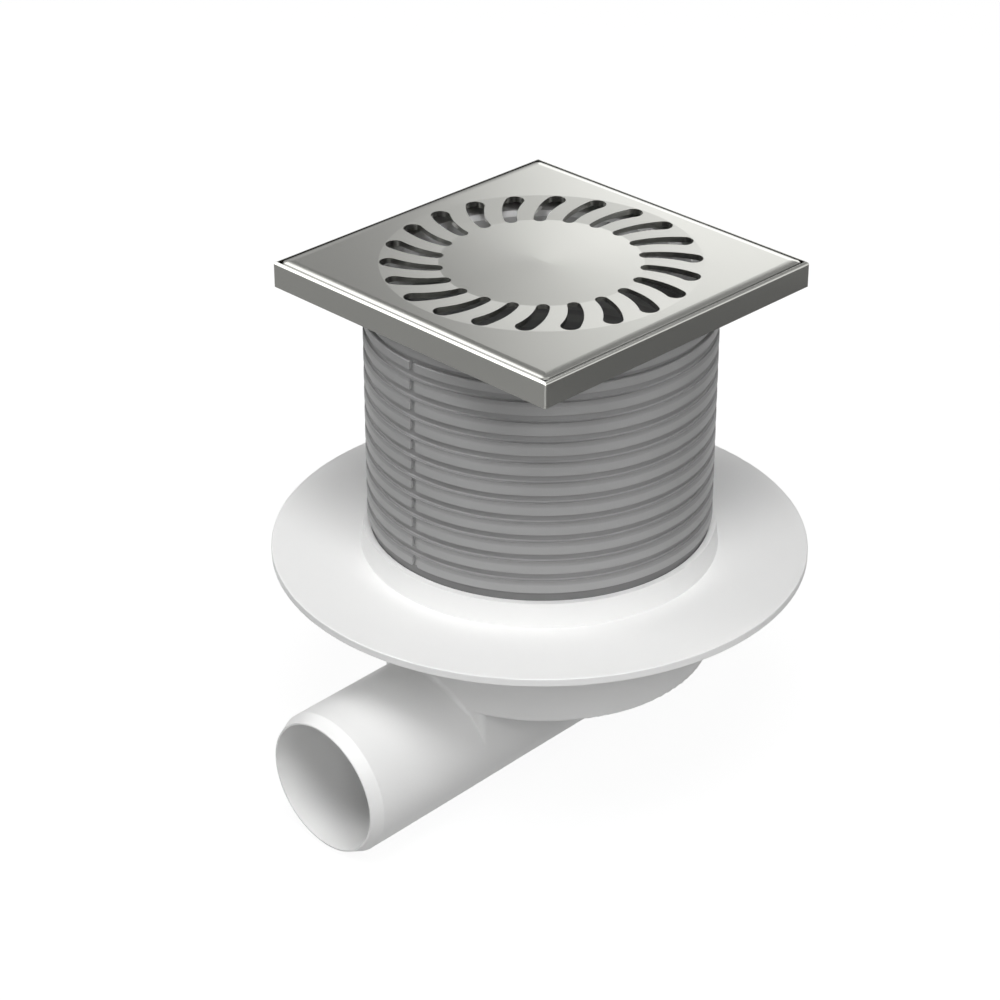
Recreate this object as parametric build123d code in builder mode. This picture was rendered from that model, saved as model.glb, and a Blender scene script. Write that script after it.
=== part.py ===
from build123d import *
import math
import os

os.makedirs("parts", exist_ok=True)

# Millimetres. Z points up, the origin lies on the drain axis in the top face of the flange.
# The outlet runs towards -Y and falls towards its mouth.

# Body: outlet spigot
outlet_diameter = 50.0
outlet_wall = 2.4
outlet_slope = 1.8
outlet_reach = 100.8
outlet_depth = 51.0
outlet_insertion = 38.0
outlet_root_relief = 0.1
outlet_root_round = 1.5
outlet_lead_in_length = 4.2
outlet_lead_in_depth = 1.85
gutter_end = 4.0

# Body: flange, collar and pot
flange_diameter = 181.0
flange_thickness = 2.8
flange_edge_round = 0.35
collar_height = 8.5
collar_lip = 2.1
collar_flare = 1.0
pot_depth = 36.9
pot_wall = 2.2
pot_draft = 1.0
pot_offset = 2.7
pot_clearance = 1.0
pot_edge_round = 0.9
gutter_inset = 1.3
gutter_corner = 2.5
seat_width = 4.3

# Riser: a ribbed tube that is cut to length, with a plain spigot below
riser_wall = 2.5
spigot_wall = 2.2
riser_shoulder = 5.3
riser_clearance = 1.1
riser_spigot_depth = 24.0
riser_foot_height = 6.0
riser_head_height = 6.05
band_count = 11
band_pitch = 7.09
band_height = 3.05
band_relief = 1.1
band_draft = 0.12
first_band_height = 85.64
band_gap = 2.0
band_corner = 0.7
band_bedding = 0.3
ridge_height = 1.7
ridge_relief = 0.7
ridge_above_band = 1.72
insert_ledge_height = 33.0
insert_ledge_width = 4.0
insert_ledge_thickness = 3.0

# Riser seal
seal_lip_depth = 1.6
seal_lip_fall = 0.8

# Square frame and grid
frame_width = 122.0
frame_height = 8.7
frame_sheet = 1.0
frame_edge_round = 0.95
frame_corner = 0.5
frame_lip = 2.0
floor_level = 101.2
carrier_plate = 2.6
carrier_spigot_wall = 2.4
carrier_mouth_chamfer = 1.5
carrier_spigot_depth = 14.0
grid_gap = 0.35
grid_sheet = 1.5
grid_crown = 1.2
grid_bead_round = 1.3
grid_bead_slope = 2.6
grid_corner = 1.0
grid_dish = 0.75

# Slot ring of the grid
slot_count = 22
ring_margin = 3.35
ring_width = 19.2
slot_inset = 0.8
slot_inner_half_width = 2.15
slot_outer_half_width = 3.2
slot_length = 15.8
slot_bend = 30.0
slot_lead_angle = 2.2
slot_offset = 2.5
disc_apex = 0.55
disc_edge = 0.1
ring_edge = 0.6
plate_edge = 0.3

# Water trap: a dip tube insert and the cup that hangs on it
dip_tube_diameter = 48.0
trap_wall = 1.8
dip_tube_depth = 22.0
insert_thickness = 4.5
insert_funnel_width = 12.0
cup_diameter = 84.0
cup_floor_depth = 31.0
overflow_height = 27.5
cup_post_count = 6
cup_post_width = 9.0
grip_width = 7.0
grip_height = 13.0
grip_thickness = 3.0
insert_ring_section = 2.4
insert_ring_stand = 0.6
insert_rim_fall = 0.9
post_lug_depth = 1.5
post_lug_height = 2.0
hook_wall = 1.6
hook_overlap = 0.4

# Clearances
running_gap = 0.3
sliding_gap = 0.15
seal_gap = 0.1

# Worked-out places
outlet_radius = outlet_diameter / 2
outlet_root_radius = outlet_radius - outlet_root_relief
frame_half = frame_width / 2
riser_root = frame_half - frame_sheet - frame_lip - riser_clearance
riser_spigot = riser_root - riser_shoulder
pot_radius = riser_spigot + pot_clearance + pot_offset + pot_wall
riser_bore = riser_root - riser_wall
spigot_bore = riser_spigot - spigot_wall
collar_bore = riser_root + 2 * sliding_gap
seat_bore = collar_bore - seat_width
frame_base = floor_level - frame_height
carrier_base = frame_base + frame_sheet
carrier_half = frame_half - frame_sheet - seal_gap
grid_half = frame_half - frame_sheet - grid_gap
grid_base = carrier_base + carrier_plate
grid_top = floor_level + grid_crown
plate_level = grid_top - grid_dish
insert_seat = insert_ledge_height
insert_top = insert_seat + insert_thickness
bead_inner = grid_half - grid_bead_round
plate_half = bead_inner - grid_bead_slope
ring_outer_radius = plate_half - ring_margin
ring_inner_radius = ring_outer_radius - ring_width
slot_inner_end = ring_inner_radius + slot_inset
cup_radius = cup_diameter / 2
dip_radius = dip_tube_diameter / 2
fall = math.radians(outlet_slope)
outlet_direction = (0, -math.cos(fall), -math.sin(fall))
outlet_plane = Plane(origin=(0, 0, -outlet_depth), x_dir=(1, 0, 0), z_dir=outlet_direction)
outlet_section = Plane(origin=(0, 0, -outlet_depth), x_dir=outlet_direction, z_dir=(1, 0, 0))
outlet_axis = Axis((0, 0, -outlet_depth), outlet_direction)


def ring_of(section_points):
    # A closed ring made by turning a section, given as (radius, height) points, about the drain axis.
    with BuildPart() as ring:
        with BuildSketch(Plane.XZ):
            with BuildLine():
                Polyline(*section_points, close=True)
            make_face()
        revolve(axis=Axis.Z)
    return ring.part


def gutter(radius, top, circle_radius):
    # The gutter under the pot: a U section along the outlet with a domed far end,
    # bounded by the pot's own circle where the outlet leaves it.
    far_plane = outlet_plane.offset(-gutter_end)
    with BuildPart() as trough:
        with BuildSketch(far_plane):
            Circle(radius)
            with Locations((0, outlet_depth / 2)):
                Rectangle(2 * radius, outlet_depth)
        extrude(amount=gutter_end + outlet_reach)
        with BuildSketch(far_plane):
            with BuildLine():
                CenterArc((0, 0), radius, -90, 90)
                Polyline((radius, 0), (radius, outlet_depth), (0, outlet_depth), (0, -radius))
            make_face()
        revolve(axis=Axis(far_plane.origin, far_plane.y_dir))
        with BuildSketch(Plane.XY.offset(top)):
            with Locations((pot_offset, 0)):
                Circle(circle_radius)
        extrude(amount=-2 * outlet_depth, mode=Mode.INTERSECT)
        front_corners = trough.edges().filter_by(Axis.Z).group_by(Axis.Y)[0]
        fillet(front_corners, radius=gutter_corner)
    return trough.part


def square_form(profile):
    # A square form with mitred corners: what two bars of the same section, laid crosswise, share.
    # The section is a closed list of (half width, height) points, where three points in a row
    # inside brackets mean an arc through them.
    with BuildPart() as form:
        for bar_plane in (Plane.XZ, Plane.YZ):
            mode = Mode.ADD if bar_plane == Plane.XZ else Mode.INTERSECT
            with BuildSketch(bar_plane):
                with BuildLine():
                    for piece in profile:
                        if len(piece) == 3:
                            ThreePointArc(*piece)
                        else:
                            Line(*piece)
                    mirror(about=Plane.YZ)
                make_face()
            extrude(amount=frame_width, both=True, mode=mode)
    return form.part


def arc_middle(centre, radius, angle):
    # A point on a circle, for the middle of an arc.
    turn = math.radians(angle)
    return (centre[0] + radius * math.cos(turn), centre[1] + radius * math.sin(turn))


# Body: flange, collar, pot, gutter and outlet spigot in one moulding
collar_top_radius = collar_bore + collar_lip
collar_foot_radius = collar_top_radius + collar_flare
pot_foot = -pot_depth
outer_gutter = gutter(outlet_root_radius, pot_foot + pot_wall, pot_radius - gutter_inset)
inner_gutter = gutter(
    outlet_radius - outlet_wall, pot_foot + 2 * pot_wall, pot_radius - pot_wall - gutter_inset
)

with BuildPart() as body:
    with BuildSketch(Plane.XY.offset(-flange_thickness)):
        with Locations((pot_offset, 0)):
            Circle(pot_radius)
    extrude(amount=flange_thickness - pot_depth, taper=pot_draft)
    fillet(body.edges().group_by(Axis.Z)[0], radius=pot_edge_round)
    with BuildSketch(outlet_section):
        with BuildLine():
            Polyline(
                (0, 0),
                (0, outlet_root_radius),
                (pot_radius / 2, outlet_root_radius),
                (outlet_reach - outlet_lead_in_length - outlet_insertion, outlet_radius),
                (outlet_reach - outlet_lead_in_length, outlet_radius),
                (outlet_reach, outlet_radius - outlet_lead_in_depth),
                (outlet_reach, 0),
                close=True,
            )
        make_face()
    revolve(axis=outlet_axis)
    # the corner between the pot's wall and the pipe, from flank to flank over the top
    pot_junction = body.edges().filter_by(GeomType.BSPLINE).filter_by(
        lambda e: (e @ 0.5).Y < -pot_radius / 2
        and (e @ 0.5).Z > -outlet_depth
        and abs((e @ 0.5).X) < outlet_root_radius - outlet_root_round
    )
    fillet(pot_junction, radius=outlet_root_round)
    add(outer_gutter)
    with BuildSketch(Plane.XZ):
        with BuildLine():
            Polyline(
                (0, -flange_thickness),
                (flange_diameter / 2, -flange_thickness),
                (flange_diameter / 2, 0),
                (collar_foot_radius, 0),
                (collar_top_radius, collar_height),
                (0, collar_height),
                close=True,
            )
        make_face()
    revolve(axis=Axis.Z)
    flange_rim = body.edges().filter_by(GeomType.CIRCLE).filter_by(
        lambda e: abs(e.radius - flange_diameter / 2) < 0.01
    )
    fillet(flange_rim, radius=flange_edge_round)
    with BuildSketch(Plane.XY.offset(collar_height)):
        Circle(collar_bore)
    extrude(amount=-collar_height, mode=Mode.SUBTRACT)
    with BuildSketch(Plane.XY):
        Circle(seat_bore)
    extrude(amount=-flange_thickness, mode=Mode.SUBTRACT)
    with BuildSketch(Plane.XY.offset(-flange_thickness)):
        with Locations((pot_offset, 0)):
            Circle(pot_radius - pot_wall)
    extrude(amount=flange_thickness - pot_depth + pot_wall, taper=pot_draft, mode=Mode.SUBTRACT)
    add(inner_gutter, mode=Mode.SUBTRACT)
    with BuildSketch(outlet_plane):
        Circle(outlet_radius - outlet_wall)
    extrude(amount=outlet_reach, mode=Mode.SUBTRACT)
body.part.label = "body"
export_step(body.part, "parts/body.step")

# Riser seal: a ring with two lips in the collar, round the riser's spigot
seal_outer = collar_bore - seal_gap
seal_inner = riser_spigot + sliding_gap
seal_height = riser_foot_height - running_gap
seal_wall = seal_inner + seal_lip_depth
riser_seal = ring_of(
    [
        (seal_outer, 0),
        (seal_outer, seal_height),
        (seal_wall, seal_height),
        (seal_inner, seal_height - seal_lip_fall),
        (seal_wall, seal_height / 2 + seal_lip_fall / 2),
        (seal_wall, seal_height / 2 - seal_lip_fall / 2),
        (seal_inner, seal_height / 2 - 3 * seal_lip_fall / 2),
        (seal_wall, 0),
    ]
)
riser_seal.label = "riser_seal"
export_step(riser_seal, "parts/riser_seal.step")

# Band: one of the wide rings that stiffen the riser, open at the seam, its ends with cut corners
seam_angle = math.degrees(band_gap / riser_root)
seam_start = math.radians(-90 + seam_angle / 2)
seam_plane = Plane(
    origin=(0, 0, 0),
    x_dir=(math.cos(seam_start), math.sin(seam_start), 0),
    z_dir=(math.sin(seam_start), -math.cos(seam_start), 0),
)
band_base = first_band_height - band_height
bedding_rise = band_draft * band_bedding / band_relief
with BuildPart() as band:
    with BuildSketch(seam_plane):
        with BuildLine():
            Polyline(
                (riser_root - band_bedding, first_band_height + bedding_rise),
                (riser_root + band_relief, first_band_height - band_draft),
                (riser_root + band_relief, band_base + band_draft),
                (riser_root - band_bedding, band_base - bedding_rise),
                close=True,
            )
        make_face()
    revolve(axis=Axis.Z, revolution_arc=360 - seam_angle)
    end_edges = band.edges().filter_by(GeomType.LINE).filter_by(Axis.Z, reverse=True)
    chamfer(end_edges, length=band_corner)

# Riser: root tube with a wide head, inner ledge for the trap, and spigot
riser_top = carrier_base
head_base = riser_top - riser_head_height
with BuildPart() as riser:
    with BuildSketch(Plane.XZ):
        with BuildLine():
            Polyline(
                (riser_root + band_relief, riser_top),
                (riser_root + band_relief, head_base),
                (riser_root, head_base - band_draft),
                (riser_root, riser_foot_height),
                (riser_spigot, riser_foot_height),
                (riser_spigot, -riser_spigot_depth),
                (spigot_bore, -riser_spigot_depth),
                (spigot_bore, riser_foot_height + riser_wall),
                (riser_bore, riser_foot_height + riser_wall),
                (riser_bore, insert_ledge_height - insert_ledge_thickness - insert_ledge_width),
                (riser_bore - insert_ledge_width, insert_ledge_height - insert_ledge_thickness),
                (riser_bore - insert_ledge_width, insert_ledge_height),
                (riser_bore, insert_ledge_height),
                (riser_bore, riser_top),
                close=True,
            )
        make_face()
    revolve(axis=Axis.Z)
    # thin cutting ridges run right round between the bands
    for step in range(1, band_count):
        ridge_level = first_band_height + ridge_above_band - step * band_pitch
        with BuildSketch(Plane.XZ):
            with BuildLine():
                Polyline(
                    (riser_root - band_bedding, ridge_level - ridge_height / 2),
                    (riser_root + ridge_relief, ridge_level),
                    (riser_root - band_bedding, ridge_level + ridge_height / 2),
                    close=True,
                )
            make_face()
        revolve(axis=Axis.Z)
    # wide bands stop short of each other at the seam over the outlet
    with Locations(*[(0, 0, -step * band_pitch) for step in range(band_count)]):
        add(band.part)
riser.part.label = "riser"
export_step(riser.part, "parts/riser.step")

# Frame carrier: the moulded plate inside the steel frame, with the spigot that turns in the riser
carrier_spigot = riser_bore - running_gap
carrier_bore = carrier_spigot - carrier_spigot_wall
with BuildPart() as frame_carrier:
    with BuildSketch(Plane.XY.offset(carrier_base)):
        Rectangle(2 * carrier_half, 2 * carrier_half)
    extrude(amount=carrier_plate)
    with BuildSketch(Plane.XY.offset(carrier_base)):
        Circle(carrier_spigot)
    extrude(amount=-carrier_spigot_depth)
    with BuildSketch(Plane.XY.offset(carrier_base + carrier_plate)):
        Circle(carrier_bore)
    extrude(amount=-carrier_plate - carrier_spigot_depth, mode=Mode.SUBTRACT)
    carrier_mouth = frame_carrier.edges().filter_by(GeomType.CIRCLE).filter_by(
        lambda e: abs(e.radius - carrier_bore) < 0.01
    )
    chamfer(carrier_mouth.sort_by(Axis.Z)[-1], length=carrier_mouth_chamfer)
frame_carrier.part.label = "frame_carrier"
export_step(frame_carrier.part, "parts/frame_carrier.step")

def bend_sag(width, height):
    # The middle of an arc that leaves level ground and climbs by height over width.
    radius = (width**2 + height**2) / (2 * height)
    turn = math.asin(width / radius) / 2
    return (radius * math.sin(turn), radius * (1 - math.cos(turn)))


# Frame: the polished steel skirt with a rounded rim and a lip folded in under the carrier
rim_centre = (frame_half - frame_edge_round, floor_level - frame_edge_round)
frame_form = square_form(
    [
        ((0, frame_base), (frame_half, frame_base)),
        ((frame_half, frame_base), (frame_half, rim_centre[1])),
        (
            (frame_half, rim_centre[1]),
            arc_middle(rim_centre, frame_edge_round, 45),
            (rim_centre[0], floor_level),
        ),
        ((rim_centre[0], floor_level), (0, floor_level)),
    ]
)
with BuildPart() as frame:
    add(frame_form)
    fillet(frame.edges().filter_by(Axis.Z), radius=frame_corner)
    with BuildSketch(Plane.XY.offset(carrier_base)):
        Rectangle(frame_width - 2 * frame_sheet, frame_width - 2 * frame_sheet)
    extrude(amount=frame_height, mode=Mode.SUBTRACT)
    with BuildSketch(Plane.XY.offset(frame_base)):
        RectangleRounded(
            frame_width - 2 * frame_sheet - 2 * frame_lip,
            frame_width - 2 * frame_sheet - 2 * frame_lip,
            frame_lip,
        )
    extrude(amount=frame_sheet, mode=Mode.SUBTRACT)
frame.part.label = "frame"
export_step(frame.part, "parts/frame.step")


def slot_point(along, side):
    # A point on the slot's edge: along runs from 0 at the inner end to 1 at the outer end,
    # side is -1 or 1 for its two flanks and 0 for the middle line.
    turn = slot_lead_angle + math.degrees(along * slot_length / slot_bend)
    lead = math.radians(slot_lead_angle)
    here = math.radians(turn)
    middle_x = slot_inner_end + slot_bend * (math.sin(here) - math.sin(lead))
    middle_y = slot_offset - slot_bend * (math.cos(lead) - math.cos(here))
    half = slot_inner_half_width + along * (slot_outer_half_width - slot_inner_half_width)
    return (middle_x + side * half * math.sin(here), middle_y + side * half * math.cos(here))


def slot_cap(along, outward):
    # The outermost point of a slot's round end.
    here = math.radians(slot_lead_angle + math.degrees(along * slot_length / slot_bend))
    half = slot_inner_half_width + along * (slot_outer_half_width - slot_inner_half_width)
    middle = slot_point(along, 0)
    return (middle[0] + outward * half * math.cos(here), middle[1] - outward * half * math.sin(here))


# Grid: a pressed steel lid with a raised rim, a shallow cone in the middle and 22 swirling slots
with BuildPart() as plate_form:
    with BuildSketch(Plane.XZ):
        with BuildLine():
            Polyline(
                (0, grid_base),
                (0, floor_level + disc_apex),
                (ring_inner_radius, floor_level + disc_edge),
                (ring_outer_radius, floor_level + ring_edge),
                (frame_width, floor_level + plate_edge),
                (frame_width, grid_base),
                close=True,
            )
        make_face()
    revolve(axis=Axis.Z)
bead_centre = (grid_half - grid_bead_round, grid_top - grid_bead_round)
grid_form = square_form(
    [
        ((0, grid_base), (grid_half, grid_base)),
        ((grid_half, grid_base), (grid_half, bead_centre[1])),
        (
            (grid_half, bead_centre[1]),
            arc_middle(bead_centre, grid_bead_round, 45),
            (bead_centre[0], grid_top),
        ),
        ((bead_centre[0], grid_top), (0, grid_top)),
    ]
)
slope_middle = (plate_half + grid_bead_slope / 2, (plate_level + grid_top) / 2)
slope_sag = bend_sag(grid_bead_slope / 2, grid_dish / 2)
recess_form = square_form(
    [
        ((0, grid_base), (plate_half, grid_base)),
        ((plate_half, grid_base), (plate_half, plate_level)),
        ((plate_half, plate_level), (plate_half + slope_sag[0], plate_level + slope_sag[1]), slope_middle),
        (slope_middle, (bead_inner - slope_sag[0], grid_top - slope_sag[1]), (bead_inner, grid_top)),
        ((bead_inner, grid_top), (0, grid_top)),
    ]
)
with BuildPart() as recess:
    add(recess_form)
    add(plate_form.part, mode=Mode.SUBTRACT)

with BuildSketch() as slot:
    with BuildLine():
        ThreePointArc(slot_point(0, 1), slot_point(0.5, 1), slot_point(1, 1))
        ThreePointArc(slot_point(1, 1), slot_cap(1, 1), slot_point(1, -1))
        ThreePointArc(slot_point(1, -1), slot_point(0.5, -1), slot_point(0, -1))
        ThreePointArc(slot_point(0, -1), slot_cap(0, -1), slot_point(0, 1))
    make_face()

with BuildPart() as grid:
    add(grid_form)
    fillet(grid.edges().filter_by(Axis.Z), radius=grid_corner)
    with BuildSketch(Plane.XY.offset(grid_base)):
        Rectangle(2 * (grid_half - grid_sheet), 2 * (grid_half - grid_sheet))
    extrude(amount=floor_level + disc_edge - grid_sheet - grid_base, mode=Mode.SUBTRACT)
    add(recess.part, mode=Mode.SUBTRACT)
    with BuildSketch(Plane.XY.offset(grid_base)):
        with PolarLocations(0, slot_count):
            add(slot.sketch)
    extrude(amount=grid_top - grid_base, mode=Mode.SUBTRACT)
grid.part.label = "grid"
export_step(grid.part, "parts/grid.step")

# Trap insert: a flange that seats on the riser's ledge, a funnel, the dip tube and a grip bar
insert_radius = riser_bore - running_gap
funnel_radius = dip_radius + insert_funnel_width
groove_depth = insert_ring_section - insert_ring_stand
groove_base = insert_seat + (insert_thickness - insert_ring_section) / 2
hook_bore = cup_radius + post_lug_depth + running_gap
hook_foot = insert_seat - post_lug_height - running_gap
with BuildPart() as hooks:
    with BuildSketch(Plane.XZ):
        with BuildLine():
            Polyline(
                (hook_bore, insert_seat + hook_overlap),
                (hook_bore, hook_foot),
                (cup_radius + running_gap, hook_foot),
                (cup_radius + running_gap, hook_foot - hook_wall),
                (hook_bore + hook_wall, hook_foot - hook_wall),
                (hook_bore + hook_wall, insert_seat + hook_overlap),
                close=True,
            )
        make_face()
    revolve(axis=Axis.Z)
    with BuildSketch(Plane.XY.offset(hook_foot - hook_wall)):
        with PolarLocations(0, cup_post_count, start_angle=180 / cup_post_count):
            with Locations((hook_bore, 0)):
                Rectangle(4 * hook_wall + 2 * post_lug_depth, cup_post_width)
    extrude(amount=insert_seat + hook_overlap - hook_foot + hook_wall, mode=Mode.INTERSECT)
with BuildPart() as trap_insert:
    with BuildSketch(Plane.XZ):
        with BuildLine():
            Polyline(
                (insert_radius, insert_seat),
                (insert_radius, groove_base),
                (insert_radius - groove_depth, groove_base),
                (insert_radius - groove_depth, groove_base + insert_ring_section),
                (insert_radius, groove_base + insert_ring_section),
                (insert_radius, insert_top),
                (funnel_radius, insert_top - insert_rim_fall),
                (dip_radius - trap_wall, insert_seat - trap_wall),
                (dip_radius - trap_wall, -dip_tube_depth),
                (dip_radius, -dip_tube_depth),
                (dip_radius, insert_seat - 2 * trap_wall),
                (funnel_radius, insert_seat),
                close=True,
            )
        make_face()
    revolve(axis=Axis.Z)
    for side in (-1, 1):
        with BuildSketch(Plane.XY.offset(insert_top - trap_wall)):
            with Locations((side * (funnel_radius + grip_thickness), 0)):
                Rectangle(grip_thickness, grip_width)
        extrude(amount=grip_height + trap_wall)
    with BuildSketch(Plane.XY.offset(insert_top + grip_height - grip_thickness)):
        Rectangle(2 * funnel_radius + 3 * grip_thickness, grip_width)
    extrude(amount=grip_thickness)
    # six hooks under the flange, one beside each post of the cup, hold the posts' lugs
    add(hooks.part)
trap_insert.part.label = "trap_insert"
export_step(trap_insert.part, "parts/trap_insert.step")

# Insert ring: the rubber ring in the insert's groove
ring_out = riser_bore - seal_gap
ring_in = insert_radius - groove_depth + seal_gap
insert_ring = ring_of(
    [
        (ring_in, groove_base + seal_gap),
        (ring_out, groove_base + seal_gap),
        (ring_out, groove_base + insert_ring_section - seal_gap),
        (ring_in, groove_base + insert_ring_section - seal_gap),
    ]
)
insert_ring.label = "insert_ring"
export_step(insert_ring, "parts/insert_ring.step")

# Trap cup: holds the water seal and hangs by six posts in the insert's hooks, with overflow windows between
post_top = insert_seat
with BuildPart() as trap_cup:
    with BuildSketch(Plane.XY.offset(-cup_floor_depth)):
        Circle(cup_radius)
    extrude(amount=cup_floor_depth + post_top)
    with BuildSketch(Plane.XY.offset(-cup_floor_depth + trap_wall)):
        Circle(cup_radius - trap_wall)
    extrude(amount=cup_floor_depth + post_top, mode=Mode.SUBTRACT)
    with BuildSketch(Plane.XY.offset(overflow_height)):
        with PolarLocations(0, cup_post_count):
            with Locations((cup_radius, 0)):
                Rectangle(4 * trap_wall, 2 * math.pi * cup_radius / cup_post_count - cup_post_width)
    extrude(amount=post_top - overflow_height, mode=Mode.SUBTRACT)
    fillet(trap_cup.edges().group_by(Axis.Z)[0], radius=trap_wall)
    # a lug on each post sits over the foot of a hook
    with BuildSketch(Plane.XY.offset(post_top - post_lug_height)):
        with PolarLocations(0, cup_post_count, start_angle=180 / cup_post_count):
            with Locations((cup_radius, 0)):
                Rectangle(2 * post_lug_depth, cup_post_width / 2)
    extrude(amount=post_lug_height)
trap_cup.part.label = "trap_cup"
export_step(trap_cup.part, "parts/trap_cup.step")
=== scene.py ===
import bpy
import math
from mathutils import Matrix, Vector


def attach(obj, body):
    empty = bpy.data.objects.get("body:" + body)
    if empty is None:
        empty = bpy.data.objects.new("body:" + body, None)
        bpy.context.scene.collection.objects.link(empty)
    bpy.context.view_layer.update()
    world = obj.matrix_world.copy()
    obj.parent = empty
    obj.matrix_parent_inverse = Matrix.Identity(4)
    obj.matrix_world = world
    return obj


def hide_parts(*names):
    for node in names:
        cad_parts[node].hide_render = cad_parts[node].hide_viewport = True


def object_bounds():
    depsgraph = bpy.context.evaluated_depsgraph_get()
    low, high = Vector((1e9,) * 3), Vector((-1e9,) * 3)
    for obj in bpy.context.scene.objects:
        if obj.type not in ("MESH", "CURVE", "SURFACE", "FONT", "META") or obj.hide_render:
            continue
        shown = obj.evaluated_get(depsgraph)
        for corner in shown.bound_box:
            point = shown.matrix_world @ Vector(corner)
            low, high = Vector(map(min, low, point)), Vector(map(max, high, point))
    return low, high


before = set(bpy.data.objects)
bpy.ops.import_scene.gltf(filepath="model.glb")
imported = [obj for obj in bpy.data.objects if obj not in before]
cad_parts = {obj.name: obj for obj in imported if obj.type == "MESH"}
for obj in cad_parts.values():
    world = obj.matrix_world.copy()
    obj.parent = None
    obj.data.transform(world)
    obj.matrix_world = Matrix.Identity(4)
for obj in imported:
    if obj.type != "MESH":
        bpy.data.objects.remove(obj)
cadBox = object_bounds()
bpy.context.scene.view_settings.view_transform = "Standard"
print("frame loaded:", len(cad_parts), "nodes")


# shader helpers: a Wire is a socket that takes part in sums, a Paint is one material


class Wire:
    def __init__(self, paint, socket):
        self.paint = paint
        self.socket = socket

    def maths(self, operation, first, second):
        return self.paint.node("ShaderNodeMath", {"operation": operation}, [first, second])

    def __add__(self, other):
        return self.maths("ADD", self, other)

    def __radd__(self, other):
        return self.maths("ADD", other, self)

    def __sub__(self, other):
        return self.maths("SUBTRACT", self, other)

    def __rsub__(self, other):
        return self.maths("SUBTRACT", other, self)

    def __mul__(self, other):
        return self.maths("MULTIPLY", self, other)

    def __rmul__(self, other):
        return self.maths("MULTIPLY", other, self)

    def __truediv__(self, other):
        return self.maths("DIVIDE", self, other)

    def atMost(self, other):
        return self.maths("MINIMUM", self, other)

    def atLeast(self, other):
        return self.maths("MAXIMUM", self, other)

    def rise(self, low, high, start=0.0, end=1.0):
        # a smooth step from start to end while the value goes from low to high
        settings = {"interpolation_type": "SMOOTHSTEP"}
        return self.paint.node("ShaderNodeMapRange", settings, [self, low, high, start, end])


class Paint:
    def __init__(self, tree):
        self.tree = tree
        self.tree.nodes.clear()

    def plug(self, socket, value):
        if isinstance(value, Wire):
            self.tree.links.new(value.socket, socket)
        else:
            socket.default_value = value

    def node(self, kind, settings, inputs, output=0):
        made = self.tree.nodes.new(kind)
        for name, value in settings.items():
            setattr(made, name, value)
        pairs = inputs.items() if isinstance(inputs, dict) else enumerate(inputs)
        for name, value in pairs:
            self.plug(made.inputs[name], value)
        return Wire(self, made.outputs[output])

    def place(self):
        # where a point lies on the piece, in metres
        return self.node("ShaderNodeTexCoord", {}, {}, "Object")

    def parts(self, vector):
        # the three numbers of a vector
        split = self.node("ShaderNodeSeparateXYZ", {}, [vector])
        return [Wire(self, socket) for socket in split.socket.node.outputs]

    def stretch(self, vector, factors):
        return self.node("ShaderNodeVectorMath", {"operation": "MULTIPLY"}, [vector, factors])

    def grain(self, size, detail=3.0, at=None):
        # soft noise from 0 to 1, with blotches of about that size in metres
        inputs = {"Vector": at or self.place(), "Scale": 1 / size, "Detail": detail}
        return self.node("ShaderNodeTexNoise", {}, inputs, "Fac")

    def tint(self, factor, first, second):
        # a colour that goes from the first to the second with the factor
        inputs = {0: factor, 6: first, 7: second}
        return self.node("ShaderNodeMix", {"data_type": "RGBA"}, inputs, 2)

    def relief(self, height, depth):
        inputs = {"Height": height, "Distance": depth, "Strength": 1.0}
        return self.node("ShaderNodeBump", {}, inputs, "Normal")

    def principled(self, inputs):
        return self.node("ShaderNodeBsdfPrincipled", {}, inputs)

    def seenRays(self):
        # 1 where the camera sees the surface, straight, in a reflection or through glass
        path = self.node("ShaderNodeLightPath", {}, {}, "Is Camera Ray")
        glossy = Wire(self, path.socket.node.outputs["Is Glossy Ray"])
        through = Wire(self, path.socket.node.outputs["Is Transmission Ray"])
        return path.atLeast(glossy).atLeast(through)

    def output(self, surface, kind="ShaderNodeOutputMaterial"):
        made = self.tree.nodes.new(kind)
        self.plug(made.inputs["Surface"], surface)


def newPaint(name):
    material = bpy.data.materials.new(name)
    material.use_nodes = True
    return material, Paint(material.node_tree)


def colour(red, green=None, blue=None):
    return (red, red if green is None else green, red if blue is None else blue, 1.0)


# the camera, fitted to the photograph

cameraLook = {
    "azimuth": 44.96,
    "elevation": 29.229,
    "place": (0.5954, -0.6151, 0.4924),
    "focalPerWidth": 2.91831,
    "sensorWidth": 36.0,
    "clipStart": 0.01,
}


def makeCamera(look):
    lens = bpy.data.cameras.new("camera")
    lens.sensor_width = look["sensorWidth"]
    lens.lens = look["focalPerWidth"] * lens.sensor_width
    lens.clip_start = look["clipStart"]
    camera = bpy.data.objects.new("camera", lens)
    camera.location = look["place"]
    lean, turn = math.radians(90 - look["elevation"]), math.radians(look["azimuth"])
    camera.rotation_euler = (lean, 0, turn)
    bpy.context.scene.collection.objects.link(camera)
    bpy.context.scene.camera = camera


makeCamera(cameraLook)
print("camera placed")


# the studio: floor, world, lamps, and cards that only polished metal shows

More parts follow.
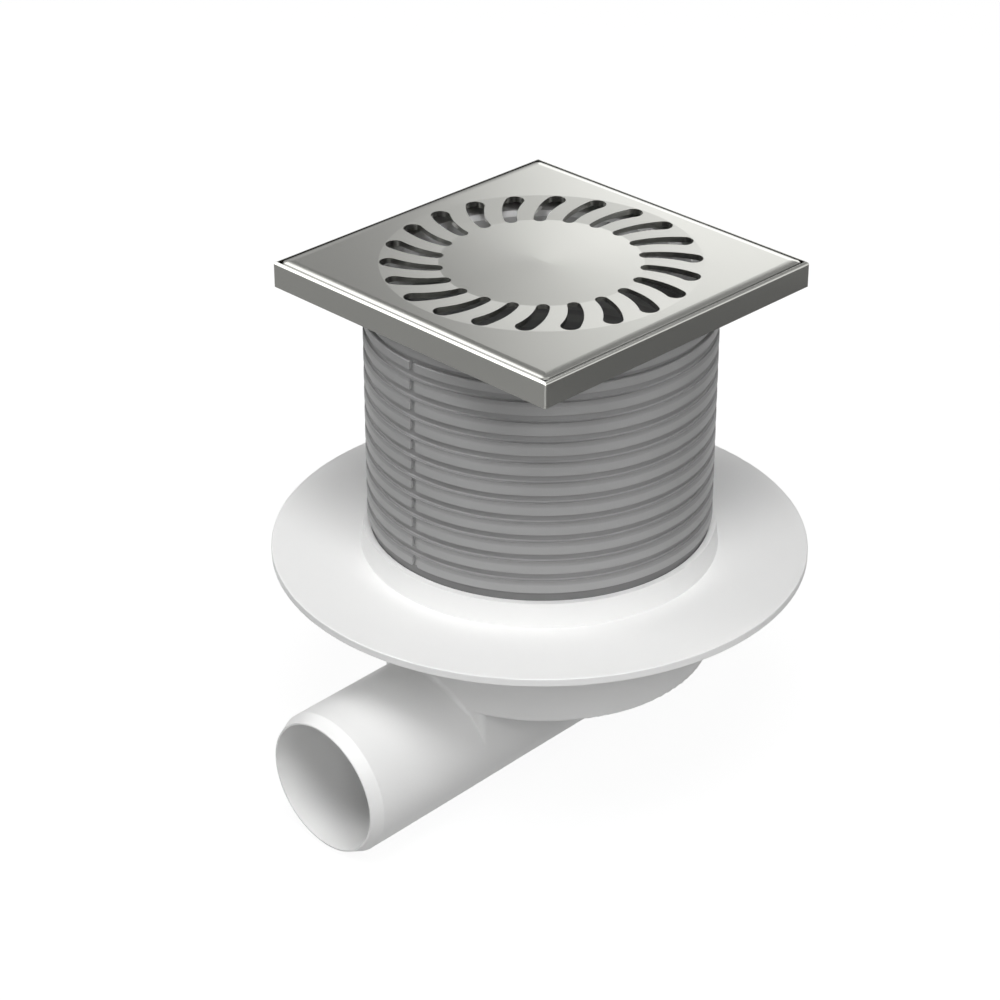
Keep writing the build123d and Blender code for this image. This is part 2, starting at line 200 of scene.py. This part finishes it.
studio = {
    "floorSize": 8.0,
    "floorGap": 0.0004,
    "floorTone": 0.25,
    "floorGlow": 0.93,
    "floorShade": 0.12,
    "worldFill": 0.0,
    "lampSize": 0.8,
    "lampAim": (0, 0, 0.03),
    # lamps that polished surfaces don't show
    "unseenLamps": ("backRight",),
    "lamps": {
        # name: (to the right, to the back, up, watts), seen from the camera
        "lowFront": (0, -1.683, 0.237, 5.86),
        "lowLeft": (-1.458, 0.842, 0.237, 1.94),
        "frontRight": (0.67, -1.16, 1.047, 8.82),
        "backRight": (0.67, 1.16, 1.047, 2.12),
        "left": (-1.34, 0, 1.047, 7.88),
        "frontLeft": (-0.67, -1.16, 1.047, 1.9),
        "highFront": (0, -0.718, 1.541, 12.96),
        "highRight": (0.622, 0.359, 1.541, 1.86),
        "highLeft": (-0.622, 0.359, 1.541, 1.16),
        "top": (0, 0, 1.73, 0.62),
    },
}


def fromCamera(right, back, up):
    # a place given as it is seen from the camera's side, turned into the object's frame
    turn = math.radians(cameraLook["azimuth"])
    across = Vector((math.cos(turn), math.sin(turn), 0))
    away = Vector((-math.sin(turn), math.cos(turn), 0))
    return across * right + away * back + Vector((0, 0, up))


def aimAt(thing, target):
    way = Vector(target) - thing.location
    thing.rotation_euler = way.to_track_quat("-Z", "Y").to_euler()


def makeFloor(look):
    size = look["floorSize"]
    mesh = bpy.data.meshes.new("floor")
    corners = [(-size, -size, 0), (size, -size, 0), (size, size, 0), (-size, size, 0)]
    mesh.from_pydata(corners, [], [(0, 1, 2, 3)])
    floor = bpy.data.objects.new("floor", mesh)
    floor.location = (0, 0, cadBox[0][2] - look["floorGap"])
    bpy.context.scene.collection.objects.link(floor)
    material, paint = newPaint("floorPaint")
    matt = paint.node("ShaderNodeBsdfDiffuse", {}, {"Color": colour(look["floorTone"])})
    shade = paint.node("ShaderNodeBsdfDiffuse", {}, {"Color": colour(look["floorShade"])})
    inputs = {"Color": colour(1.0), "Strength": look["floorGlow"]}
    glow = paint.node("ShaderNodeEmission", {}, inputs)
    white = paint.node("ShaderNodeAddShader", {}, [glow, shade])
    paint.output(paint.node("ShaderNodeMixShader", {}, [paint.seenRays(), matt, white]))
    mesh.materials.append(material)


def makeWorld(look):
    world = bpy.data.worlds.new("studioWorld")
    world.use_nodes = True
    bpy.context.scene.world = world
    paint = Paint(world.node_tree)
    strength = look["worldFill"] + paint.seenRays() * (1 - look["worldFill"])
    inputs = {"Color": colour(1.0), "Strength": strength}
    background = paint.node("ShaderNodeBackground", {}, inputs)
    paint.output(background, "ShaderNodeOutputWorld")


def makeLamps(look):
    for name, (right, back, up, watts) in look["lamps"].items():
        light = bpy.data.lights.new(name, "AREA")
        light.shape = "DISK"
        light.size = look["lampSize"]
        light.energy = watts
        lamp = bpy.data.objects.new(name, light)
        lamp.location = fromCamera(right, back, up)
        aimAt(lamp, look["lampAim"])
        lamp.visible_glossy = name not in look["unseenLamps"]
        bpy.context.scene.collection.objects.link(lamp)


# upright cards that only polished surfaces show: place is (right, back, foot height), turn is from
# facing the camera, tones go from the card's left to its right between the two places in across,
# foot and head are (from height, to height, tone or factor beyond)
cards = {
    "backCard": {
        "place": (0, 3.0, -0.078),
        "turn": 0,
        "size": (6.0, 2.1),
        "tones": (0.33, 1.28),
        "across": (-0.24, 0.24),
        "foot": (0.9, 0.3, 0.2),
        "head": (1.0, 2.0, 1.5, 0.6),
    },
    "highCard": {
        "place": (0, 3.3, 2.0),
        "turn": 0,
        "size": (9.0, 6.0),
        "tones": (2.0, 0.27),
        "across": (-1.0, -0.6),
        "foot": (0.7, 0.1, 0.12),
        "head": (5.0, 6.0, 1.0, 0.9),
    },
    "leftCard": {
        "place": (-2.2, 0.3, 0.1),
        "turn": 90,
        "size": (3.6, 3.6),
        "tones": (2.2, 2.2),
        "across": (-1, 1),
        "foot": (0.3, 0.0, 1.0),
        "head": (3.0, 3.6, 1.0, 0.8),
    },
    "rightCard": {
        "place": (2.2, 0.3, 0.7),
        "turn": -90,
        "size": (3.6, 3.6),
        "tones": (0.36, 0.36),
        "across": (-1, 1),
        "foot": (0.5, 0.0, 1.0),
        "head": (3.0, 3.6, 1.0, 1.0),
    },
    "leftFlag": {
        "place": (-0.25, -0.04, -0.078),
        "turn": 90,
        "size": (0.34, 0.163),
        "tones": (0.33, 0.33),
        "across": (-1, 1),
        "foot": (0.01, 0.0, 0.33),
        "head": (0.1, 0.12, 1.0, 1.0),
    },
    "backFlag": {
        "place": (0, 0.3, -0.078),
        "turn": 0,
        "size": (1.0, 0.19),
        "tones": (0.17, 0.24),
        "across": (-0.05, 0.05),
        "foot": (0.01, 0.0, 0.17),
        "head": (0.1, 0.12, 1.0, 1.0),
    },
    "rightFlag": {
        "place": (0.25, -0.04, -0.078),
        "turn": -90,
        "size": (0.3, 0.12),
        "tones": (0.145, 0.145),
        "across": (-1, 1),
        "foot": (0.01, 0.0, 0.145),
        "head": (0.1, 0.12, 1.0, 1.0),
    },
    "frontFlag": {
        "place": (0, -0.28, -0.078),
        "turn": 180,
        "size": (0.56, 0.12),
        "tones": (0.12, 0.12),
        "across": (-1, 1),
        "foot": (0.01, 0.0, 0.12),
        "head": (0.1, 0.12, 1.0, 1.0),
    },
    "cornerFlag": {
        "place": (0, -0.27, -0.078),
        "turn": 180,
        "size": (0.26, 0.12),
        "tones": (0.6, 0.6),
        "across": (-1, 1),
        "foot": (0.01, 0.0, 0.6),
        "head": (0.1, 0.12, 1.0, 1.0),
    },
}


def makeCards(looks):
    for name, look in looks.items():
        half, height = look["size"][0] / 2, look["size"][1]
        mesh = bpy.data.meshes.new(name)
        corners = [(-half, 0, 0), (half, 0, 0), (half, 0, height), (-half, 0, height)]
        mesh.from_pydata(corners, [], [(0, 1, 2, 3)])
        card = bpy.data.objects.new(name, mesh)
        card.location = fromCamera(*look["place"])
        card.rotation_euler = (0, 0, math.radians(cameraLook["azimuth"] + look["turn"]))
        bpy.context.scene.collection.objects.link(card)
        for ray in ("camera", "diffuse", "transmission", "volume_scatter", "shadow"):
            setattr(card, "visible_" + ray, False)
        material, paint = newPaint(name + "Paint")
        along, _, up = paint.parts(paint.place())
        tone = along.rise(*look["across"], *look["tones"]) * up.rise(*look["head"])
        fade = up.rise(look["foot"][1], look["foot"][0])
        tone = fade * tone + (1 - fade) * look["foot"][2]
        paint.output(paint.node("ShaderNodeEmission", {}, {"Color": colour(1.0), "Strength": tone}))
        mesh.materials.append(material)


makeFloor(studio)
makeWorld(studio)
makeLamps(studio)
makeCards(cards)
print("studio lit")


# finishes; sizes and depths are in metres

fineDetail = 2.0
black = colour(0.0)

whiteLook = {
    "tone": (0.84, 0.84, 0.835),
    "mottle": 0.012,
    "cloudSize": 0.018,
    "cloudStretch": (1, 1, 1),
    "roughness": 0.42,
    "roughnessSpread": 0.08,
    "peelSize": 0.0011,
    "peelDepth": 0.00002,
    "ior": 1.49,
}
greyLook = {
    "tone": (0.336, 0.336, 0.336),
    "mottle": 0.03,
    "cloudSize": 0.03,
    "cloudStretch": (1, 1, 4),
    "roughness": 0.44,
    "roughnessSpread": 0.1,
    "peelSize": 0.0009,
    "peelDepth": 0.000025,
    "ior": 1.52,
}
# painted light: the carrier and the trap take lighter copies of the grey finish, raised so the
# inside seen through the slots reads brighter
carrierPaintedLightLook = {**greyLook, "tone": (0.6, 0.6, 0.6)}
trapPaintedLightLook = {**greyLook, "tone": (0.56, 0.56, 0.56)}

# painted shade on the riser's grey: steps go by the depth below a bead, each (from, to, change in
# tone), darker under each bead and in the grooves than on the bands; the foot strip is held dark
# and the head kept at full tone
riserPaintedShade = {
    "beadLine": 0.08724,
    "pitch": 0.00709,
    "bead": 0.69,
    "steps": [
        (0.0003, 0.0015, 0.11),
        (0.0015, 0.0021, 0.2),
        (0.0046, 0.00468, -0.17),
        (0.0067, 0.00695, 0.11),
    ],
    "headFoot": (0.0874, 0.0875),
    "foot": (0.01163, 0.0117, 0.57, 1.2),
}


def satinPlastic(name, look, skin=None):
    # satin moulding: slight flow marks, and the faint orange peel of a mould
    material, paint = newPaint(name)
    clouds = paint.grain(look["cloudSize"], at=paint.stretch(paint.place(), look["cloudStretch"]))
    lighter = colour(*(part * (1 + look["mottle"]) for part in look["tone"]))
    darker = colour(*(part * (1 - look["mottle"]) for part in look["tone"]))
    base = paint.tint(clouds, darker, lighter)
    if skin:
        # painted shade: the line under each bead, the grooves and the foot strip are painted darker
        # than the bands, where shade falls between them
        height = paint.parts(paint.place())[2]
        below = paint.node(
            "ShaderNodeMath",
            {"operation": "FLOORED_MODULO"},
            [skin["beadLine"] - height, skin["pitch"]],
        )
        light = skin["bead"]
        for low, high, change in skin["steps"]:
            light = light + below.rise(low, high, 0.0, change)
        light = light.atLeast(height.rise(*skin["headFoot"]))
        light = light.atMost(height.rise(*skin["foot"]))
        base = paint.tint(light, black, base)
    peel = paint.grain(look["peelSize"], fineDetail)
    paint.output(
        paint.principled(
            {
                "Base Color": base,
                "Roughness": look["roughness"] + (peel - 0.5) * look["roughnessSpread"],
                "Normal": paint.relief(peel, look["peelDepth"]),
                "IOR": look["ior"],
            }
        )
    )
    return material


steelLook = {
    "tone": (0.63, 0.63, 0.595),
    "cloudShade": 0.97,
    "cloudSize": 0.02,
    "grainSize": 0.0004,
    "grainStretch": (0.04, 1, 1),
    "roughness": 0.2,
    "roughnessSpread": 0.05,
    "scratchDepth": 0.0000015,
}
# painted shade on the lid's edge in the gap beside the frame: the base colour is darkened below
# these heights, and farther out than these places
lidGapShade = {"height": (0.10112, 0.10126), "reach": (0.0575, 0.058), "shadeTone": 0.22}


def satinSteel(name, look, gap=None):
    # satin stainless steel, ground along X before it was pressed
    material, paint = newPaint(name)
    fine = paint.grain(
        look["grainSize"], fineDetail, paint.stretch(paint.place(), look["grainStretch"])
    )
    clouds = paint.grain(look["cloudSize"], fineDetail)
    darker = colour(*(part * look["cloudShade"] for part in look["tone"]))
    base = paint.tint(clouds, darker, colour(*look["tone"]))
    if gap:
        # painted shade: down in the gap beside the frame the sheet's edge is painted darker, where
        # shade falls between lid and frame
        x, y, height = paint.parts(paint.place())
        reach = (x * x).atLeast(y * y)
        inward = reach.rise(gap["reach"][1] ** 2, gap["reach"][0] ** 2)
        light = height.rise(*gap["height"], gap["shadeTone"], 1.0).atLeast(inward)
        base = paint.tint(light, black, base)
    paint.output(
        paint.principled(
            {
                "Base Color": base,
                "Metallic": 1.0,
                "Roughness": look["roughness"] + (fine - 0.5) * look["roughnessSpread"],
                "Normal": paint.relief(fine, look["scratchDepth"]),
            }
        )
    )
    return material


rubberLook = {
    "tone": (0.02, 0.02, 0.02),
    "dustLight": 1.6,
    "dustSize": 0.004,
    "roughness": 0.6,
    "roughnessSpread": 0.1,
}


def blackRubber(look):
    # black rubber with a little dust in it
    material, paint = newPaint("blackRubber")
    dust = paint.grain(look["dustSize"])
    dusty = colour(*(part * look["dustLight"] for part in look["tone"]))
    paint.output(
        paint.principled(
            {
                "Base Color": paint.tint(dust, colour(*look["tone"]), dusty),
                "Roughness": look["roughness"] + dust * look["roughnessSpread"],
            }
        )
    )
    return material


# the riser: a moulded tube turned as one closed skin
# shapes are in millimetres until they are built

perMetre = 1000

riserShape = {
    "columns": 180,
    "sharpAngle": 32,
    "root": 56.9,
    "band": 58.0,
    "top": 93.5,
    # the neck under the frame: radius, the height of its foot, and its taper below that
    "neck": (57.88, 91.6, 0.4),
    "headFoot": 87.45,
    "headGroove": 56.6,
    "firstBand": 85.64,
    "bandHeight": 3.05,
    "pitch": 7.09,
    "bands": 11,
    # heights above a band: where the bead starts, its top, its foot
    "bead": (1.8, 1.4, 1.05),
    "beadRadii": (57.92, 57.78),
    "beadSteps": (6, 5),
    # the flat between bead and band: radius, height above the band, steps on each side
    "land": (57.88, 0.2, 4),
    "bandShoulder": 0.3,
    "shoulderSteps": 4,
    "edge": 0.08,
    "seamAt": -90,
    "seamGap": 2.0,
    "seamStep": 0.03,
    "endRound": 0.7,
    "endParts": (0.1, 0.22, 0.4, 0.65, 1.0),
    # the inside, (radius, height) from the foot round to the top
    "inside": [
        (56.9, 6.0),
        (51.6, 6.0),
        (51.6, -24.0),
        (49.4, -24.0),
        (49.4, 8.5),
        (54.4, 8.5),
        (54.4, 26.0),
        (50.4, 30.0),
        (50.4, 33.0),
        (54.4, 33.0),
        (54.4, 93.5),
    ],
}


def easedRun(start, end, steps):
    # points from one (radius, height) to the next along a soft S, without the last
    run = []
    for step in range(steps):
        part = step / steps
        soft = part * part * (3 - 2 * part)
        radius = start[0] + (end[0] - start[0]) * soft
        run.append((radius, start[1] + (end[1] - start[1]) * part))
    return run


def plainRows(run):
    # rows that are the same all the way round
    return [(radius, radius, height, None) for radius, height in run]


def beadRows(look, high, shoulder):
    # the bead above a band, and the land between them that ends at the seam
    above, apex, below = (high + rise for rise in look["bead"])
    beadTop, beadFoot = look["beadRadii"]
    upper, lower = look["beadSteps"]
    rows = plainRows(easedRun((look["root"], above), (beadTop, apex), upper))
    rows += plainRows(easedRun((beadTop, apex), (beadFoot, below), lower))
    landRadius, landRise, landSteps = look["land"]
    land = (landRadius, high + landRise)
    rise = easedRun((beadFoot, below), land, landSteps) + easedRun(land, shoulder, landSteps)
    fall = easedRun((beadFoot, below), (look["root"], high), len(rise))
    return rows + [(full[0], bare[0], full[1], None) for full, bare in zip(rise, fall)]


def riserRows(look):
    # rows from the top down: radius on the band, radius in the seam, height, the band's middle
    root, band, edge = look["root"], look["band"], look["edge"]
    groove, foot = look["headGroove"], look["headFoot"]
    neck, neckFoot, taper = look["neck"]
    head = [(neck, look["top"]), (neck, neckFoot), (band, neckFoot - taper), (band, foot + edge)]
    rows = plainRows(head + [(band - edge, foot), (groove, foot - edge)])
    for step in range(look["bands"]):
        high = look["firstBand"] - step * look["pitch"]
        low = high - look["bandHeight"]
        middle = (high + low) / 2
        shoulder = (band, high - look["bandShoulder"])
        if step:
            rows += beadRows(look, high, shoulder)
        else:
            rows += plainRows([(groove, high + edge)])
            rise = easedRun((band - look["bandShoulder"], high), shoulder, look["shoulderSteps"])
            rows += [(radius, groove, height, middle) for radius, height in rise]
        rows += [(band, root, shoulder[1], middle), (band, root, low + edge, middle)]
        rows += [(band - edge, root, low, middle), (root, root, low - edge, middle)]
    return rows + plainRows(look["inside"])


def seamColumns(look):
    # angles round the tube with how far each lies past the band's end, in millimetres
    gap, rounding = look["seamGap"] / 2, look["endRound"]
    near = [0, gap / 2, gap, gap + look["seamStep"]]
    near += [gap + rounding * part for part in look["endParts"]]
    perDegree = look["root"] * math.pi / 180
    start = look["seamAt"]
    spread = near[-1] / perDegree
    count = look["columns"]
    pairs = [(start + away / perDegree, away - gap) for away in near]
    for column in range(1, count):
        pairs.append((start + spread + (360 - 2 * spread) * column / count, math.inf))
    pairs += [(start + 360 - away / perDegree, away - gap) for away in reversed(near[1:])]
    return pairs


def riserPoint(look, row, angle, past):
    # a band's end is rounded: its edges draw in towards its middle
    full, bare, height, middle = row
    rounding = look["endRound"]
    radius = full if past > look["seamStep"] / 3 else bare
    if middle is not None and past < rounding:
        short = rounding - math.sqrt(rounding**2 - (rounding - max(past, 0.0)) ** 2)
        height = middle + (height - middle) * (1 - short / (look["bandHeight"] / 2))
    turn = math.radians(angle)
    place = (radius * math.cos(turn), radius * math.sin(turn), height)
    return tuple(value / perMetre for value in place)


def makeRiser(look, material):
    rows, columns = riserRows(look), seamColumns(look)
    points = [riserPoint(look, row, angle, past) for row in rows for angle, past in columns]
    width = len(columns)
    faces = []
    for row in range(len(rows)):
        here, after = row * width, (row + 1) % len(rows) * width
        for column in range(width):
            side = (column + 1) % width
            faces.append((here + column, after + column, after + side, here + side))
    mesh = bpy.data.meshes.new("riserTube")
    mesh.from_pydata(points, [], faces)
    mesh.shade_smooth()
    mesh.set_sharp_from_angle(angle=math.radians(look["sharpAngle"]))
    mesh.materials.append(material)
    tube = bpy.data.objects.new("riserTube", mesh)
    bpy.context.scene.collection.objects.link(tube)
    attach(tube, "riser")
    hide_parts("riser")


# the lid: the pressed sheet with its slots as in the CAD, its edge rolled over and down

lidShape = {
    "half": 59.65,
    "corner": 2.6,
    "rollStart": 55.6,
    "drop": 0.85,
    "foot": 96.1,
    "inside": 58.15,
    # the plate's cone: its level at a radius, and how far it falls for each millimetre outwards
    "plate": (101.8, 52.4, 0.3 / 69.6),
    "rollSteps": 14,
    "cornerSteps": 10,
}
# how the faces of the CAD's raised edge are told from the rest of its sheet
cadEdge = {
    "outerFrom": 56.6,
    "outerAbove": 100,
    "slopeFrom": 56,
    "slopeAbove": 101,
    "slopeUpright": 0.998,
    "plateAbove": 101.5,
    "footBand": 0.05,
    "cornerSlack": 0.005,
}
weldDigits = 3


def welded(place):
    return tuple(round(value, weldDigits) for value in place)


class Skin:
    # points shared by their place, and faces with a direction for each corner
    def __init__(self):
        self.points, self.faces, self.normals = [], [], []
        self.index = {}

    def point(self, place):
        key = welded(place)
        if key not in self.index:
            self.index[key] = len(self.points)
            self.points.append(tuple(value / perMetre for value in place))
        return self.index[key]

    def face(self, corners, directions):
        # corners that fell together count once
        ring, ways = [], []
        for corner, direction in zip(corners, directions):
            if corner not in ring:
                ring.append(corner)
                ways.append(direction)
        if len(ring) > 2:
            self.faces.append(ring)
            self.normals.extend(ways)

    def mesh(self, name):
        mesh = bpy.data.meshes.new(name)
        mesh.from_pydata(self.points, [], self.faces)
        mesh.shade_smooth()
        mesh.normals_split_custom_set(self.normals)
        return mesh


def plateLevel(look, x, y):
    level, radius, fall = look["plate"]
    return level - (math.hypot(x, y) - radius) * fall


def onCorner(look, x, y):
    # a point outside the lid's rounded outline is brought onto it
    core = look["half"] - look["corner"]
    pastX, pastY = max(abs(x) - core, 0.0), max(abs(y) - core, 0.0)
    reach = math.hypot(pastX, pastY)
    if reach <= look["corner"] or min(pastX, pastY) <= 0:
        return x, y
    keep = look["corner"] / reach
    return math.copysign(core + pastX * keep, x), math.copysign(core + pastY * keep, y)


def keepSheet(look, cad, source, skin):
    # copies the sheet without its edge, and gives the points where the edge was
    places = [tuple(value * perMetre for value in vertex.co) for vertex in source.vertices]
    directions = [normal.vector.copy() for normal in source.corner_normals]
    plateEdge, cutAway = set(), set()
    for polygon in source.polygons:
        corners = [places[corner] for corner in polygon.vertices]
        ways = [directions[loop] for loop in polygon.loop_indices]
        reach = max(max(abs(x), abs(y)) for x, y, _ in corners)
        low = min(corner[2] for corner in corners)
        high = max(corner[2] for corner in corners)
        if high < look["foot"] + cad["footBand"]:
            continue
        outer = reach > cad["outerFrom"] and high > cad["outerAbove"]
        tilted = min(way.z for way in ways) < cad["slopeUpright"]
        slope = low > cad["slopeAbove"] and reach > cad["slopeFrom"] and tilted
        if outer or slope:
            cutAway.update(welded(corner) for corner in corners)
            continue
        if low > cad["plateAbove"]:
            plateEdge.update(welded(corner) for corner in corners)
        skin.face([skin.point((*onCorner(look, x, y), z)) for x, y, z in corners], ways)
    return plateEdge & cutAway


def lidColumns(look, cad, rim):
    # round the lid: the plate's own edge point, the corner of the roll, and the way outwards
    core = look["half"] - look["corner"]
    columns = []
    for side in range(4):
        turn = side * math.pi / 2
        cos, sin = math.cos(turn), math.sin(turn)
        local = [(x * cos + y * sin, y * cos - x * sin, z) for x, y, z in rim]
        edge = sorted(point for point in local if -point[1] >= abs(point[0]) - cad["cornerSlack"])
        first, last = edge[0], edge[-1]
        run = [(first, (-core, -core), (0, -1))]
        run += [(point, (point[0], -core), (0, -1)) for point in edge[1:-1]]
        run += [(last, (core, -core), (0, -1))]
        for step in range(1, look["cornerSteps"]):
            around = math.radians(-90 + 90 * step / look["cornerSteps"])
            run.append((last, (core, -core), (math.cos(around), math.sin(around))))
        for point, start, way in run:
            spun = [(x * cos - y * sin, x * sin + y * cos) for x, y in (point[:2], start, way)]
            columns.append(((*spun[0], point[2]), spun[1], spun[2]))
    return columns


def rollFacing(look, way, turn):
    # the direction of the rolled edge, a quarter of an ellipse
    roll = look["half"] - look["rollStart"]
    across = look["drop"] * math.sin(turn)
    return Vector((way[0] * across, way[1] * across, roll * math.cos(turn))).normalized()


def rollColumn(look, skin, inner, start, way):
    # from the plate over the roll and down to the foot: points with their directions
    roll = look["half"] - look["rollStart"]
    core = look["half"] - look["corner"]
    reach = max(abs(inner[0]), abs(inner[1]))
    innerTurn = math.asin(max(reach - look["rollStart"], 0.0) / roll)
    startTurn = math.asin((core - look["rollStart"]) / roll)
    column = [(skin.point(inner), rollFacing(look, way, innerTurn))]
    for step in range(look["rollSteps"] + 1):
        turn = startTurn + (math.pi / 2 - startTurn) * step / look["rollSteps"]
        out = look["rollStart"] + roll * math.sin(turn) - core
        x, y = start[0] + way[0] * out, start[1] + way[1] * out
        level = plateLevel(look, x, y) - look["drop"] * (1 - math.cos(turn))
        facing = rollFacing(look, way, turn)
        column.append((skin.point((x, y, level)), facing))
    column.append((skin.point((x, y, look["foot"])), facing))
    return column


def closeFoot(look, skin, columns, feet):
    # the sheet's lower edge, one face a side from the middle of one corner to the next
    marks = []
    for number, (_, _, way) in enumerate(columns):
        if math.isclose(abs(way[0]), abs(way[1]), abs_tol=1e-6):
            marks.append(number)
    for mark, after in zip(marks, marks[1:] + marks[:1]):
        ring = feet[mark : after + 1] if after > mark else feet[mark:] + feet[: after + 1]
        for at in (after, mark):
            inner = (math.copysign(look["inside"], part) for part in columns[at][2])
            ring.append(skin.point((*inner, look["foot"])))
        ring.reverse()
        skin.face(ring, [Vector((0, 0, -1))] * len(ring))


def makeLid(look, cad, material):
    skin = Skin()
    rim = keepSheet(look, cad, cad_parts["grid"].data, skin)
    columns = lidColumns(look, cad, rim)
    rolls = [rollColumn(look, skin, *column) for column in columns]
    for column, beside in zip(rolls, rolls[1:] + rolls[:1]):
        for row in range(len(column) - 1):
            four = [column[row], column[row + 1], beside[row + 1], beside[row]]
            skin.face([corner for corner, _ in four], [way for _, way in four])
    closeFoot(look, skin, columns, [column[-1][0] for column in rolls])
    mesh = skin.mesh("gridLid")
    mesh.materials.append(material)
    lid = bpy.data.objects.new("gridLid", mesh)
    bpy.context.scene.collection.objects.link(lid)
    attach(lid, "frame")
    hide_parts("grid")
    print("lid rolled:", len(rim), "points on the plate's edge,", len(skin.faces), "faces")


# the pieces that keep the CAD's shape get their finish


def dress(node, material):
    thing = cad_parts[node]
    thing.data.materials.clear()
    thing.data.materials.append(material)


white = satinPlastic("whitePlastic", whiteLook)
riserGrey = satinPlastic("riserGrey", greyLook, riserPaintedShade)
carrierGrey = satinPlastic("carrierGrey", carrierPaintedLightLook)
trapGrey = satinPlastic("trapGrey", trapPaintedLightLook)
steel = satinSteel("satinSteel", steelLook)
lidSteel = satinSteel("lidSteel", steelLook, lidGapShade)
rubber = blackRubber(rubberLook)
dress("body", white)
dress("frame_carrier", carrierGrey)
dress("trap_insert", trapGrey)
dress("trap_cup", trapGrey)
dress("frame", steel)
dress("riser_seal", rubber)
dress("insert_ring", rubber)
print("finishes made")
makeRiser(riserShape, riserGrey)
print("riser turned")
makeLid(lidShape, cadEdge, lidSteel)
